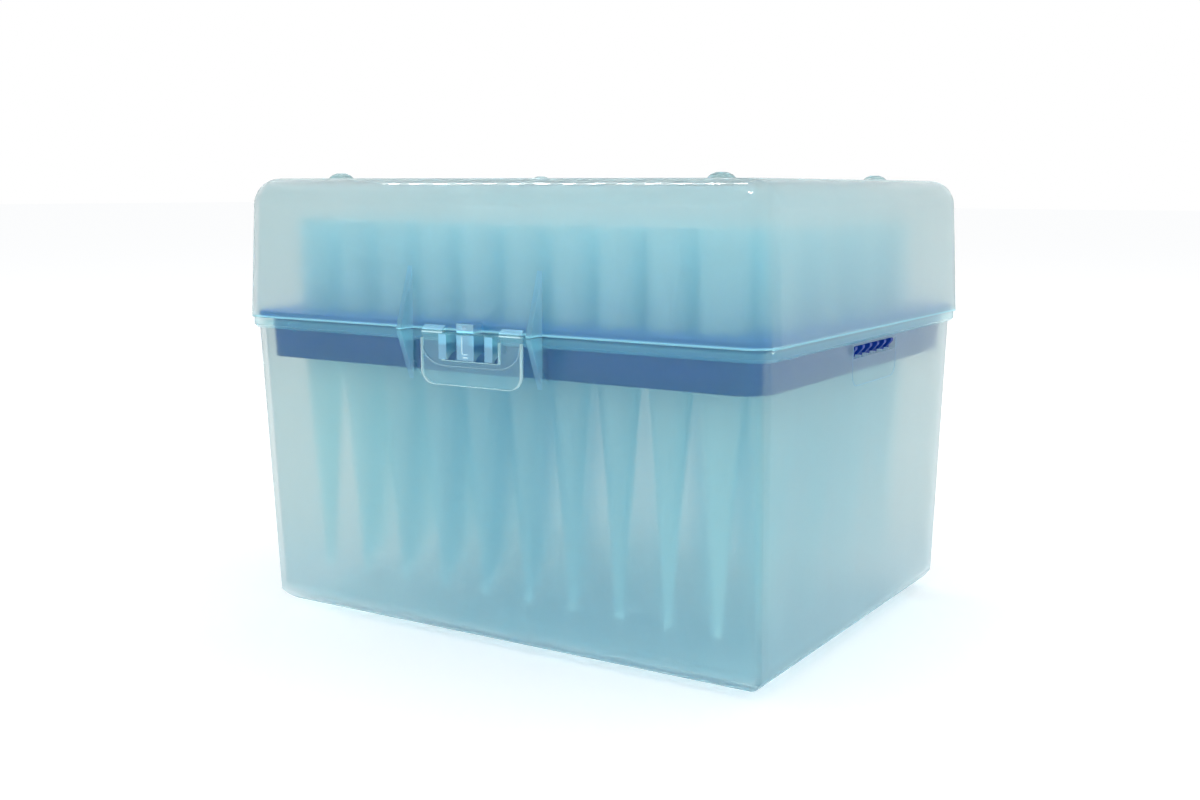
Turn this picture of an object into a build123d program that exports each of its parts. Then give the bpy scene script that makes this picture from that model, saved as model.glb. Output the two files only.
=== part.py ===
from build123d import *

import os
from math import atan, degrees, sqrt

# A hinged rack box for large pipette tips, in millimetres, drawn closed and latched.
# The origin is the centre of the underside. +X runs along the latch side, the latch faces -Y,
# the hinge is at +Y, and +Z is up.

# ---- shells -------------------------------------------------------------------------------
SEAM_Z = 59.2  # where lid and base meet
LID_TOP_Z = 86.2
LID_LENGTH = 115.0  # along X, at the seam
LID_DEPTH = 96.2  # along Y, at the seam
LID_LEAN_X = 1.3  # how far each end wall leans in over its height
LID_LEAN_Y = 0.6
LID_ROUND = 5.3  # upright corners and top edges
LID_WALL = 1.2
LID_ROOF = 1.5

BASE_INSET = 1.65  # the base's wall stands this far inside the lid's, just under the seam
BASE_LEAN_X = 0.8
BASE_LEAN_Y = 3.25
BASE_CORNER = 3.05  # upright corners
BASE_ROUND = 5.4  # foot edges
MITRE_ROUND = 1.0  # where two rounded foot edges meet at a corner
BASE_WALL = 1.3
BASE_FLOOR = 1.6
CAVITY_CHAMFER = 2.3  # inside the rounded edges, which keeps the walls even
CORNER_CHAMFER = 1.0  # inside the base's tighter upright corners
CUT_PAST = 1.0  # a cavity runs this far past its shell's mouth

BEAD_INSET = 0.45  # the bead under the base's rim, inside the lid's face
BEAD_HEIGHT = 2.1
BEAD_CHAMFER = 0.6
RIM_WIDTH = 1.7

# ---- stacking domes on the lid ------------------------------------------------------------
DOME_X = 42.0
DOME_Y = 35.0
DOME_RADIUS = 2.4
DOME_HEIGHT = 1.0
DOME_SIDES = 12
DOME_SHOULDER_RADIUS = 1.9
DOME_SHOULDER_HEIGHT = 0.6
DOME_CROWN_RADIUS = 0.9

# ---- gusset fins beside the latch ---------------------------------------------------------
FIN_X = 14.2
FIN_THICK = 1.0
FIN_REACH = 3.6
FIN_TOP_Z = 70.2
FIN_FOOT_Z = 50.3
FIN_GAP = 0.1  # each half stops this far from the seam
FIN_ROOT = 1.0  # the root inside the wall starts this far below the fin's foot

# ---- latch: distances "out" are measured outwards from the lid's front face ---------------
LATCH_WIDTH = 21.8
LATCH_FOOT_Z = 49.5
LATCH_CORNER = 2.7
PLATE_IN = 0.3
PLATE_OUT = 1.3
PLATE_CHAMFER = 0.25
WINDOW_WIDTH = 12.5
WINDOW_SILL_Z = 53.9
ROLL_OUT = 0.7
ROLL_DROP = 0.65  # roll centre, below the seam
ROLL_RADIUS = 0.45
ROLL_GAP = 0.1
NECK_THICK = 0.5
PLATE_DROP = 1.35  # the plate's top edge, below the seam
GRIP_SILL_Z = 53.1
GRIP_CORNER = 4.8
GRIP_MARGIN = 0.2  # the raised field stops this far from the plate's sides
GRIP_DEPTH = 0.15
STRAP_RISE = 0.85
STRAP_OUT = 1.0
STRAP_EDGE = 0.1  # top of the strap's outer edge, above the seam
STRAP_DROP = 0.3
ARM_WIDTH = (LATCH_WIDTH - WINDOW_WIDTH) / 2

# ---- hooks on the base, inside the latch's window -----------------------------------------
HOOK_OUT = 2.45
HOOK_DROP = 0.4
HOOK_FOOT_Z = 54.35
HOOK_LIP = 0.5
HOOK_RISE = 1.05
HOOK_HOLLOW = 4.0  # radius of the hollow under each hook
CENTRE_HOOK_WIDTH = 3.75
SIDE_HOOK_WIDTH = 1.7
SIDE_HOOK_X = 5.07
GROOVE_WIDTH = 1.6
GROOVE_DEPTH = 0.4
GROOVE_FOOT_Z = 55.3
STOP_HEIGHT = 1.6

# ---- hinge at the back --------------------------------------------------------------------
HINGE_X = 30.0  # middle of each lid lug; its clip stands on the outer side
PIN_RADIUS = 1.5
PIN_CLEARANCE = 0.05
CLIP_RADIUS = 2.8
CLIP_THICK = 3.0
CLIP_MOUTH = 2.4
CLIP_MOUTH_TILT = 50  # degrees above straight out
CLIP_FOOT_Z = 49.5
BRACKET_OUT = 2.24  # the bracket's outer edge, out from the pin and below it
BRACKET_DROP = 1.68
LUG_RADIUS = 2.5
LUG_HALF_WIDTH = 3.0
LUG_GAP = 0.4
LUG_TOP_Z = 66.0
LUG_FOOT = 0.2  # the web's foot on the wall, above the seam
LUG_NOSE = (2.0, 1.5)  # the web's outer corner, out from the pin and above it
LUG_HEEL = 1.0  # the web's lower corner, below the pin
HINGE_GAP = 0.3  # clips to the lid's wall
HINGE_Y = LID_DEPTH / 2 + HINGE_GAP + CLIP_RADIUS
CLIP_X = HINGE_X + LUG_HALF_WIDTH + LUG_GAP + CLIP_THICK / 2

# ---- tip rack -----------------------------------------------------------------------------
DECK_THICK = 1.2
DECK_TOP_Z = SEAM_Z + DECK_THICK
DECK_GAP = 0.35  # deck edge to the lid's inner wall
DECK_EDGE = 0.3
SKIRT_FOOT_Z = 51.3
SKIRT_WALL = 1.2
SKIRT_GAP = 0.3
SKIRT_ROUND = 4.6
SLOT_Y = 1.9  # centre of the side slots and their snap ribs
SLOT_WIDTH = 21.2
SLOT_LOW_Z = 54.1
SLOT_HIGH_Z = 56.4
SNAP_COUNT = 6
SNAP_PITCH = 3.65
SNAP_THICK = 1.2
SNAP_REACH = 1.5
SNAP_ROOT = 0.1  # foot of each rib's slope, out from the skirt
SNAP_EDGE = 0.6
SNAP_GAP = 0.15

# ---- tips ---------------------------------------------------------------------------------
ROWS = "abcdefghi"
TIPS_PER_ROW = 10
TIP_PITCH = 10.0
ROW_PITCH = TIP_PITCH * sqrt(3) / 2
TIP_TOP_Z = 78.5
TIP_BREAK_Z = 52.0  # where the hub's slight taper gives way to the long cone
TIP_END_Z = 7.0
TIP_SIDES = 6  # six-sided tips and holes keep ninety of them light; flats face the neighbours
HUB_RADIUS = 4.2  # tip radii are half the width across flats
BREAK_RADIUS = 3.85
END_RADIUS = 0.6
HUB_WALL = 0.75
END_WALL = 0.3


def lean(z, low_z, high_z, amount):
    """How far a leaning wall has moved at height z."""
    return amount * (z - low_z) / (high_z - low_z)


def lid_outline(z, inset=0.0):
    """Length and depth of the lid's outline at height z, taken in by inset."""
    x = LID_LENGTH / 2 - lean(z, SEAM_Z, LID_TOP_Z, LID_LEAN_X) - inset
    y = LID_DEPTH / 2 - lean(z, SEAM_Z, LID_TOP_Z, LID_LEAN_Y) - inset
    return 2 * x, 2 * y


def base_outline(z, inset=0.0):
    """Length and depth of the base's wall at height z, taken in by inset."""
    x = LID_LENGTH / 2 - BASE_INSET - BASE_LEAN_X + lean(z, 0, SEAM_Z, BASE_LEAN_X) - inset
    y = LID_DEPTH / 2 - BASE_INSET - BASE_LEAN_Y + lean(z, 0, SEAM_Z, BASE_LEAN_Y) - inset
    return 2 * x, 2 * y


def leaning_block(low_z, low_size, high_z, high_size):
    """A block between two heights whose four walls lean, with sharp edges."""
    with BuildPart() as block:
        with BuildSketch(Plane.XZ):
            Polygon(
                (-low_size[0] / 2, low_z),
                (low_size[0] / 2, low_z),
                (high_size[0] / 2, high_z),
                (-high_size[0] / 2, high_z),
                align=None,
            )
        extrude(amount=LID_DEPTH, both=True)
        with BuildSketch(Plane.YZ):
            Polygon(
                (-low_size[1] / 2, low_z),
                (low_size[1] / 2, low_z),
                (high_size[1] / 2, high_z),
                (-high_size[1] / 2, high_z),
                align=None,
            )
        extrude(amount=LID_LENGTH, both=True, mode=Mode.INTERSECT)
    return block.part


def out(distance):
    """The Y of a point this far outwards from the lid's front face."""
    return -LID_DEPTH / 2 - distance


def front_wall_y(z):
    """The Y of the base's front wall at height z."""
    return -base_outline(z)[1] / 2


def side_plane(x):
    """A plane across the box at x. Its own X is the box's Y, and its own Y is the box's Z."""
    return Plane(origin=(x, 0, 0), x_dir=(0, 1, 0), z_dir=(1, 0, 0))


# ---- base ---------------------------------------------------------------------------------
with BuildPart() as base_cavity:
    floor_size = base_outline(BASE_FLOOR, BASE_WALL)
    mouth_size = base_outline(SEAM_Z + CUT_PAST, BASE_WALL)
    add(leaning_block(BASE_FLOOR, floor_size, SEAM_Z + CUT_PAST, mouth_size))
    chamfer(base_cavity.edges().group_by(Axis.Z)[0], CAVITY_CHAMFER)
    uprights = base_cavity.edges().group_by(Axis.Z)[-2]
    chamfer(uprights, CORNER_CHAMFER)

with BuildPart() as cornered_block:
    add(leaning_block(0, base_outline(0), SEAM_Z, base_outline(SEAM_Z)))
    fillet(cornered_block.edges().group_by(Axis.Z)[1], BASE_CORNER)

with BuildPart() as base_block:
    add(leaning_block(0, base_outline(0), SEAM_Z, base_outline(SEAM_Z)))
    fillet(base_block.edges().group_by(Axis.Z)[0], BASE_ROUND)
    add(cornered_block.part, mode=Mode.INTERSECT)
    fillet(base_block.edges().group_by(Axis.Z)[1], MITRE_ROUND)

with BuildPart() as bead:
    bead_size = (LID_LENGTH - 2 * BEAD_INSET, LID_DEPTH - 2 * BEAD_INSET)
    with BuildSketch(Plane.XY.offset(SEAM_Z - BEAD_HEIGHT)):
        RectangleRounded(*bead_size, LID_ROUND - BEAD_INSET)
    extrude(amount=BEAD_HEIGHT)
    chamfer(bead.edges().group_by(Axis.Z)[0], BEAD_CHAMFER)

with BuildPart() as rim_step:
    with BuildSketch(Plane.XY.offset(SEAM_Z - BEAD_HEIGHT / 2)):
        RectangleRounded(
            bead_size[0] - 2 * RIM_WIDTH,
            bead_size[1] - 2 * RIM_WIDTH,
            LID_ROUND - BEAD_INSET - RIM_WIDTH,
        )
    extrude(amount=BEAD_HEIGHT)


def hook(x, width):
    """One latch hook: a rib on the base's front with a hollowed underside and a lip."""
    root_y = front_wall_y(HOOK_FOOT_Z) + BASE_WALL / 2
    with BuildSketch(side_plane(x - width / 2)) as profile:
        with BuildLine():
            Polyline(
                (root_y, HOOK_FOOT_Z + HOOK_RISE),
                (root_y, SEAM_Z - HOOK_DROP),
                (out(HOOK_OUT), SEAM_Z - HOOK_DROP),
                (out(HOOK_OUT), HOOK_FOOT_Z),
                (out(HOOK_OUT - HOOK_LIP), HOOK_FOOT_Z),
            )
            RadiusArc(
                (out(HOOK_OUT - HOOK_LIP), HOOK_FOOT_Z),
                (root_y, HOOK_FOOT_Z + HOOK_RISE),
                HOOK_HOLLOW,
            )
        make_face()
    extrude(profile.sketch, amount=width)


def base_fin(x):
    """The lower half of a gusset fin, below the seam."""
    top_z = SEAM_Z - FIN_GAP
    with BuildSketch(side_plane(x - FIN_THICK / 2)) as profile:
        Polygon(
            (front_wall_y(FIN_FOOT_Z) + BASE_WALL / 2, FIN_FOOT_Z - FIN_ROOT),
            (front_wall_y(FIN_FOOT_Z), FIN_FOOT_Z),
            (out(FIN_REACH), top_z),
            (front_wall_y(top_z) + BASE_WALL / 2, top_z),
            align=None,
        )
    extrude(profile.sketch, amount=FIN_THICK)


def hinge_clip(x):
    """One snap clip of the hinge, on its bracket, with a mouth that is narrower than the pin."""
    root_y = base_outline(CLIP_FOOT_Z)[1] / 2 - BASE_WALL / 2
    with BuildSketch(side_plane(x - CLIP_THICK / 2)) as profile:
        with Locations((HINGE_Y, SEAM_Z)):
            Circle(CLIP_RADIUS)
        Polygon(
            (root_y, CLIP_FOOT_Z),
            (HINGE_Y + BRACKET_OUT, SEAM_Z - BRACKET_DROP),
            (HINGE_Y, SEAM_Z - PIN_RADIUS),
            (root_y, SEAM_Z - HOOK_DROP),
            align=None,
        )
        with Locations((HINGE_Y, SEAM_Z)):
            Circle(PIN_RADIUS + PIN_CLEARANCE, mode=Mode.SUBTRACT)
        with Locations(Location((HINGE_Y, SEAM_Z), CLIP_MOUTH_TILT)):
            Rectangle(
                2 * CLIP_RADIUS, CLIP_MOUTH, align=(Align.MIN, Align.CENTER), mode=Mode.SUBTRACT
            )
    extrude(profile.sketch, amount=CLIP_THICK)


with BuildPart() as base:
    add(base_block.part)
    add(bead.part)
    hook(0, CENTRE_HOOK_WIDTH)
    for side in (-1, 1):
        hook(side * SIDE_HOOK_X, SIDE_HOOK_WIDTH)
        base_fin(side * FIN_X)
        hinge_clip(side * CLIP_X)
    add(base_cavity.part, mode=Mode.SUBTRACT)
    add(rim_step.part, mode=Mode.SUBTRACT)
    with BuildSketch(Plane.XY.offset(SLOT_LOW_Z)):
        with Locations((0, SLOT_Y)):
            Rectangle(2 * LID_LENGTH, SLOT_WIDTH)
    extrude(amount=SLOT_HIGH_Z - SLOT_LOW_Z, mode=Mode.SUBTRACT)
    with BuildSketch(Plane.XZ.offset(-out(HOOK_OUT))):
        with Locations((0, GROOVE_FOOT_Z)):
            Rectangle(GROOVE_WIDTH, SEAM_Z, align=(Align.CENTER, Align.MIN))
    extrude(amount=-GROOVE_DEPTH, mode=Mode.SUBTRACT)
base.part.label = "base"

# ---- lid ----------------------------------------------------------------------------------
with BuildPart() as lid_cavity:
    mouth_size = lid_outline(SEAM_Z - CUT_PAST, LID_WALL)
    roof_size = lid_outline(LID_TOP_Z - LID_ROOF, LID_WALL)
    add(leaning_block(SEAM_Z - CUT_PAST, mouth_size, LID_TOP_Z - LID_ROOF, roof_size))
    levels = lid_cavity.edges().group_by(Axis.Z)
    chamfer(levels[1] + levels[2], CAVITY_CHAMFER)


def lid_fin(x):
    """The upper half of a gusset fin, above the seam."""
    with BuildSketch(side_plane(x - FIN_THICK / 2)) as profile:
        Polygon(
            (out(-LID_WALL / 2), SEAM_Z + FIN_GAP),
            (out(-LID_WALL / 2), FIN_TOP_Z),
            (out(FIN_REACH), SEAM_Z + FIN_GAP),
            align=None,
        )
    extrude(profile.sketch, amount=FIN_THICK)


def latch_strap(side):
    """The sloped strap over one latch arm, hollowed underneath for the arm's roll."""
    start_x = WINDOW_WIDTH / 2 if side > 0 else -LATCH_WIDTH / 2
    with BuildSketch(side_plane(start_x)) as profile:
        Polygon(
            (out(-LID_WALL / 2), SEAM_Z),
            (out(-LID_WALL / 2), SEAM_Z + STRAP_RISE),
            (out(0), SEAM_Z + STRAP_RISE),
            (out(STRAP_OUT), SEAM_Z + STRAP_EDGE),
            (out(STRAP_OUT), SEAM_Z - STRAP_DROP),
            (out(0), SEAM_Z - STRAP_DROP),
            (out(0), SEAM_Z),
            align=None,
        )
        with Locations((out(ROLL_OUT), SEAM_Z - ROLL_DROP)):
            Circle(ROLL_RADIUS + ROLL_GAP, mode=Mode.SUBTRACT)
    extrude(profile.sketch, amount=ARM_WIDTH)


def hinge_lug(side):
    """One hinge lug, with the pin that stands out of its outer side."""
    with BuildSketch(side_plane(side * HINGE_X - LUG_HALF_WIDTH)) as web:
        with Locations((HINGE_Y, SEAM_Z)):
            Circle(LUG_RADIUS)
        Polygon(
            (LID_DEPTH / 2 - LID_WALL / 2, SEAM_Z + LUG_FOOT),
            (HINGE_Y, SEAM_Z - LUG_HEEL),
            (HINGE_Y + LUG_NOSE[0], SEAM_Z + LUG_NOSE[1]),
            (LID_DEPTH / 2 - LID_WALL / 2, LUG_TOP_Z),
            align=None,
        )
    extrude(web.sketch, amount=2 * LUG_HALF_WIDTH)
    with BuildSketch(side_plane(side * HINGE_X)) as pin:
        with Locations((HINGE_Y, SEAM_Z)):
            Circle(PIN_RADIUS)
    extrude(pin.sketch, amount=side * (CLIP_X - HINGE_X + CLIP_THICK / 2))


def dome_step(low_z, low_radius, high_z, high_radius):
    """One tapering layer of a stacking dome."""
    slope = degrees(atan((low_radius - high_radius) / (high_z - low_z)))
    with BuildSketch(Plane.XY.offset(low_z)) as outline:
        RegularPolygon(low_radius, DOME_SIDES)
    extrude(outline.sketch, amount=high_z - low_z, taper=slope)


with BuildPart() as dome:
    shoulder_z = LID_TOP_Z + DOME_SHOULDER_HEIGHT
    dome_step(LID_TOP_Z, DOME_RADIUS, shoulder_z, DOME_SHOULDER_RADIUS)
    dome_step(shoulder_z, DOME_SHOULDER_RADIUS, LID_TOP_Z + DOME_HEIGHT, DOME_CROWN_RADIUS)

with BuildPart() as lid:
    add(leaning_block(SEAM_Z, lid_outline(SEAM_Z), LID_TOP_Z, lid_outline(LID_TOP_Z)))
    levels = lid.edges().group_by(Axis.Z)
    fillet(levels[1] + levels[2], LID_ROUND)
    with GridLocations(2 * DOME_X, 2 * DOME_Y, 2, 2):
        add(dome.part)
    for side in (-1, 1):
        lid_fin(side * FIN_X)
        latch_strap(side)
        hinge_lug(side)
    with BuildSketch(Plane.XY.offset(SEAM_Z)):
        with Locations((0, out(HOOK_OUT))):
            Rectangle(
                CENTRE_HOOK_WIDTH, HOOK_OUT + LID_WALL / 2, align=(Align.CENTER, Align.MIN)
            )
    extrude(amount=STOP_HEIGHT)
    add(lid_cavity.part, mode=Mode.SUBTRACT)
lid.part.label = "lid"

# ---- latch --------------------------------------------------------------------------------
with BuildPart() as latch:
    plate_top_z = SEAM_Z - PLATE_DROP
    with BuildSketch(Plane.XZ.offset(-out(PLATE_OUT))):
        with Locations((0, LATCH_FOOT_Z)):
            RectangleRounded(
                LATCH_WIDTH,
                2 * (plate_top_z - LATCH_FOOT_Z),
                LATCH_CORNER,
                align=(Align.CENTER, Align.MIN),
            )
        with Locations((0, plate_top_z)):
            Rectangle(LATCH_WIDTH, SEAM_Z, align=(Align.CENTER, Align.MIN), mode=Mode.SUBTRACT)
        with Locations((0, WINDOW_SILL_Z)):
            Rectangle(WINDOW_WIDTH, SEAM_Z, align=(Align.CENTER, Align.MIN), mode=Mode.SUBTRACT)
    extrude(amount=PLATE_IN - PLATE_OUT)
    front_edges = latch.faces().sort_by(Axis.Y)[0].edges()
    arm_middle = (LATCH_WIDTH + WINDOW_WIDTH) / 4
    rim = front_edges.filter_by(lambda edge: abs(edge.center().X) > arm_middle)
    foot = front_edges.sort_by(Axis.Z)[0]
    chamfer(rim + [foot], PLATE_CHAMFER)
    with BuildSketch(Plane.XZ.offset(-out(PLATE_OUT))):
        Rectangle(2 * LATCH_WIDTH, 2 * LID_TOP_Z)
        with Locations((0, GRIP_SILL_Z)):
            RectangleRounded(
                LATCH_WIDTH - 2 * GRIP_MARGIN,
                SEAM_Z,
                GRIP_CORNER,
                align=(Align.CENTER, Align.MIN),
                mode=Mode.SUBTRACT,
            )
    extrude(amount=-GRIP_DEPTH, mode=Mode.SUBTRACT)
    for start_x in (-LATCH_WIDTH / 2, WINDOW_WIDTH / 2):
        with BuildSketch(side_plane(start_x)):
            with Locations((out(ROLL_OUT), SEAM_Z - ROLL_DROP)):
                Circle(ROLL_RADIUS)
                Rectangle(NECK_THICK, PLATE_DROP, align=(Align.CENTER, Align.MAX))
        extrude(amount=ARM_WIDTH)
latch.part.label = "latch"

# ---- tips ---------------------------------------------------------------------------------


def tapered_prism(top_z, top_radius, foot_z, foot_radius):
    """A prism that narrows evenly on its way down."""
    height = top_z - foot_z
    slope = degrees(atan((top_radius - foot_radius) / height))
    with BuildPart() as prism:
        with BuildSketch():
            RegularPolygon(top_radius, TIP_SIDES, major_radius=False, rotation=180 / TIP_SIDES)
        extrude(amount=height, taper=slope)
    return Location((0, 0, top_z), (180, 0, 0)) * prism.part


with BuildPart() as tip:
    add(tapered_prism(TIP_TOP_Z, HUB_RADIUS, TIP_BREAK_Z, BREAK_RADIUS))
    add(tapered_prism(TIP_BREAK_Z, BREAK_RADIUS, TIP_END_Z, END_RADIUS))
    bore_top = HUB_RADIUS - HUB_WALL
    bore_break = BREAK_RADIUS - HUB_WALL
    bore_end = END_RADIUS - END_WALL
    add(tapered_prism(TIP_TOP_Z, bore_top, TIP_BREAK_Z, bore_break), mode=Mode.SUBTRACT)
    add(tapered_prism(TIP_BREAK_Z, bore_break, TIP_END_Z, bore_end), mode=Mode.SUBTRACT)


def tip_places(row):
    """Where the tips of a row stand. Every other row is shifted by half a pitch."""
    y = (row - (len(ROWS) - 1) / 2) * ROW_PITCH
    shift = -TIP_PITCH / 4 if row % 2 == 0 else TIP_PITCH / 4
    middle = (TIPS_PER_ROW - 1) / 2
    return [((n - middle) * TIP_PITCH + shift, y) for n in range(TIPS_PER_ROW)]


# ---- tip rack -----------------------------------------------------------------------------
hub_share = (DECK_TOP_Z - TIP_BREAK_Z) / (TIP_TOP_Z - TIP_BREAK_Z)
HOLE_RADIUS = BREAK_RADIUS + (HUB_RADIUS - BREAK_RADIUS) * hub_share


def skirt_block(inset):
    """A block as high as the rack's skirt, taken in from the base's inner wall by inset."""
    low_size = base_outline(SKIRT_FOOT_Z, BASE_WALL + inset)
    high_size = base_outline(SEAM_Z, BASE_WALL + inset)
    return leaning_block(SKIRT_FOOT_Z, low_size, SEAM_Z, high_size)


with BuildPart() as skirt_hollow:
    add(skirt_block(SKIRT_GAP + SKIRT_WALL))
    chamfer(skirt_hollow.edges().group_by(Axis.Z)[1], CAVITY_CHAMFER)

with BuildPart() as skirt:
    add(skirt_block(SKIRT_GAP))
    fillet(skirt.edges().group_by(Axis.Z)[1], SKIRT_ROUND)
    add(skirt_hollow.part, mode=Mode.SUBTRACT)

with BuildPart() as tip_rack:
    deck_size = lid_outline(SEAM_Z, LID_WALL + DECK_GAP)
    with BuildSketch(Plane.XY.offset(SEAM_Z)):
        RectangleRounded(*deck_size, LID_ROUND - LID_WALL - DECK_GAP)
    extrude(amount=DECK_THICK)
    chamfer(tip_rack.edges().group_by(Axis.Z)[-1], DECK_EDGE)
    add(skirt.part)
    skirt_x = base_outline(SLOT_HIGH_Z, BASE_WALL + SKIRT_GAP)[0] / 2
    snap_places = [
        (SLOT_Y + (n - (SNAP_COUNT - 1) / 2) * SNAP_PITCH) for n in range(SNAP_COUNT)
    ]
    for side in (-1, 1):
        for snap_y in snap_places:
            with BuildSketch(Plane.XZ.offset(-snap_y - SNAP_THICK / 2)):
                Polygon(
                    (side * (skirt_x - SKIRT_WALL / 2), SLOT_HIGH_Z - SNAP_GAP),
                    (side * (skirt_x + SNAP_REACH), SLOT_HIGH_Z - SNAP_GAP),
                    (side * (skirt_x + SNAP_REACH), SLOT_HIGH_Z - SNAP_GAP - SNAP_EDGE),
                    (side * (skirt_x + SNAP_ROOT), SLOT_LOW_Z + SNAP_GAP),
                    (side * (skirt_x - SKIRT_WALL / 2), SLOT_LOW_Z + SNAP_GAP),
                    align=None,
                )
            extrude(amount=SNAP_THICK)
    with BuildSketch(Plane.XY.offset(SEAM_Z)):
        for row in range(len(ROWS)):
            with Locations(*tip_places(row)):
                RegularPolygon(
                    HOLE_RADIUS, TIP_SIDES, major_radius=False, rotation=180 / TIP_SIDES
                )
    extrude(amount=DECK_THICK, mode=Mode.SUBTRACT)
tip_rack.part.label = "tip_rack"

# ---- files --------------------------------------------------------------------------------
os.makedirs("parts", exist_ok=True)
for finished in (base, lid, latch, tip_rack):
    export_step(finished.part, f"parts/{finished.part.label}.step")

for row, letter in enumerate(ROWS):
    places = tip_places(row)
    half = TIPS_PER_ROW // 2
    for end, group in (("left", places[:half]), ("right", places[half:])):
        with BuildPart() as tips:
            with Locations(*group):
                add(tip.part)
        tips.part.label = f"tips_{letter}_{end}"
        export_step(tips.part, f"parts/{tips.part.label}.step")
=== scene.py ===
from math import pi, radians

import bmesh
import bpy
from mathutils import Matrix, Vector


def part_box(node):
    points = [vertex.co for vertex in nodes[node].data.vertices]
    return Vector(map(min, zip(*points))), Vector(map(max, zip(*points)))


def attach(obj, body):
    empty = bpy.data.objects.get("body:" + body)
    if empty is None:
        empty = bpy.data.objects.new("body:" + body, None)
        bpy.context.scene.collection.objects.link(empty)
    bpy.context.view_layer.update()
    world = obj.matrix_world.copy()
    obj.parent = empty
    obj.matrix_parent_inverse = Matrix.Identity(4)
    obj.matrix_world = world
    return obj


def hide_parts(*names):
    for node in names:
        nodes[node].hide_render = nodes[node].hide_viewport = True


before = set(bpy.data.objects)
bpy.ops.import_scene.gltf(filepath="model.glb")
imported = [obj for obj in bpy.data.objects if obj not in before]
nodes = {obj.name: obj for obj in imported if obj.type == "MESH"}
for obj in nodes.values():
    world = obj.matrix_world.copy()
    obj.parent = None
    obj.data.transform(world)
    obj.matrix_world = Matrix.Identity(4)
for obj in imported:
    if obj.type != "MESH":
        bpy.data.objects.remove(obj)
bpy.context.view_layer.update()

# The box of pipette tips, dressed around its CAD frame. Lengths are in metres.

MM = 0.001
DECK_THICK = 1.2 * MM
LATCH_OUT = 1.3 * MM  # from the lid's front face to the latch plate's face
SLOT_Y = 1.9 * MM  # the middle of the base's side slots
# The height where lid and base meet, and the lid's front face there, to the micrometre.
seam = round(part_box("tip_rack")[1].z - DECK_THICK, 6)
lid_front = round(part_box("latch")[0].y + LATCH_OUT, 6)


# ---- camera -------------------------------------------------------------------------------
CAMERA_PLACE = Vector((150.19, -247.49, 84.45)) * MM
CAMERA_YAW = radians(31.83)
CAMERA_PITCH = radians(-8.54)
CAMERA_ROLL = radians(0.16)
CAMERA_LENS = 42.29  # both in mm
CAMERA_SENSOR = 36
CAMERA_NEAR = 0.01


def make_camera():
    """The camera stands in front and to the right, a little above the seam."""
    data = bpy.data.cameras.new("camera")
    data.sensor_width = CAMERA_SENSOR
    data.lens = CAMERA_LENS
    data.clip_start = CAMERA_NEAR
    camera = bpy.data.objects.new("camera", data)
    turn = Matrix.Rotation(CAMERA_YAW, 4, "Z") @ Matrix.Rotation(radians(90) + CAMERA_PITCH, 4, "X")
    roll = Matrix.Rotation(CAMERA_ROLL, 4, "Z")
    camera.matrix_world = Matrix.Translation(CAMERA_PLACE) @ turn @ roll
    bpy.context.scene.collection.objects.link(camera)
    bpy.context.scene.camera = camera


# ---- studio -------------------------------------------------------------------------------
STUDIO_LEVEL = 0.72  # how strongly the white room lights matt surfaces
FLOOR_GLOW = 0.3  # keeps the floor white around the shadow
FLOOR_HALF = 6.0
FLOOR_DROP = 0.2 * MM  # the floor lies this far under the box's foot
BOUNCES = 24  # enough to see through every wall and tip
CLEAR_BOUNCES = 32
SOFT_LAMPS = (  # name, place, aim, size and radiance
    ("top_box", (0.1, 0.0, 0.90), (0, 0, 0.04), (0.8, 0.7), 0.83),
    ("front_box", (-0.25, -0.95, 0.40), (0, 0, 0.05), (0.5, 0.4), 0.5),
    ("side_box", (0.72, 0.50, 0.34), (0, 0, 0.05), (0.6, 0.5), 0.5),
)
GLINT_LAMP = ("corner_glint", (0.11, -0.25, 0.59), (0.052, -0.043, 0.082), (0.12, 0.05), 60.0)
STRIP_COUNT = 18
STRIP_STEP = 0.0205  # from one strip lamp to the next
STRIP_START = (-0.485, 0.125, 0.61)
STRIP_AIM = (-0.04, 0.085)  # y and z of the lid's front edge
STRIP_SIZE = (0.009, 0.05)
STRIP_RADIANCE = 62.0


def seen_directly(tree):
    """One for rays from the camera or through gloss and glass, and zero for matt light."""
    path = tree.nodes.new("ShaderNodeLightPath")
    first = tree.nodes.new("ShaderNodeMath")
    first.operation = "MAXIMUM"
    second = tree.nodes.new("ShaderNodeMath")
    second.operation = "MAXIMUM"
    tree.links.new(path.outputs["Is Camera Ray"], first.inputs[0])
    tree.links.new(path.outputs["Is Transmission Ray"], first.inputs[1])
    tree.links.new(first.outputs["Value"], second.inputs[0])
    tree.links.new(path.outputs["Is Glossy Ray"], second.inputs[1])
    return second.outputs["Value"]


def make_world():
    """A white room, which lights matt surfaces a little less than it shows."""
    world = bpy.data.worlds.new("studio")
    bpy.context.scene.world = world
    world.use_nodes = True
    tree = world.node_tree
    background = tree.nodes["Background"]
    background.inputs["Color"].default_value = (1.0, 1.0, 1.0, 1)
    strength = tree.nodes.new("ShaderNodeMapRange")
    strength.inputs["To Min"].default_value = STUDIO_LEVEL
    strength.inputs["To Max"].default_value = 1.0
    tree.links.new(seen_directly(tree), strength.inputs["Value"])
    tree.links.new(strength.outputs["Result"], background.inputs["Strength"])


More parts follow.
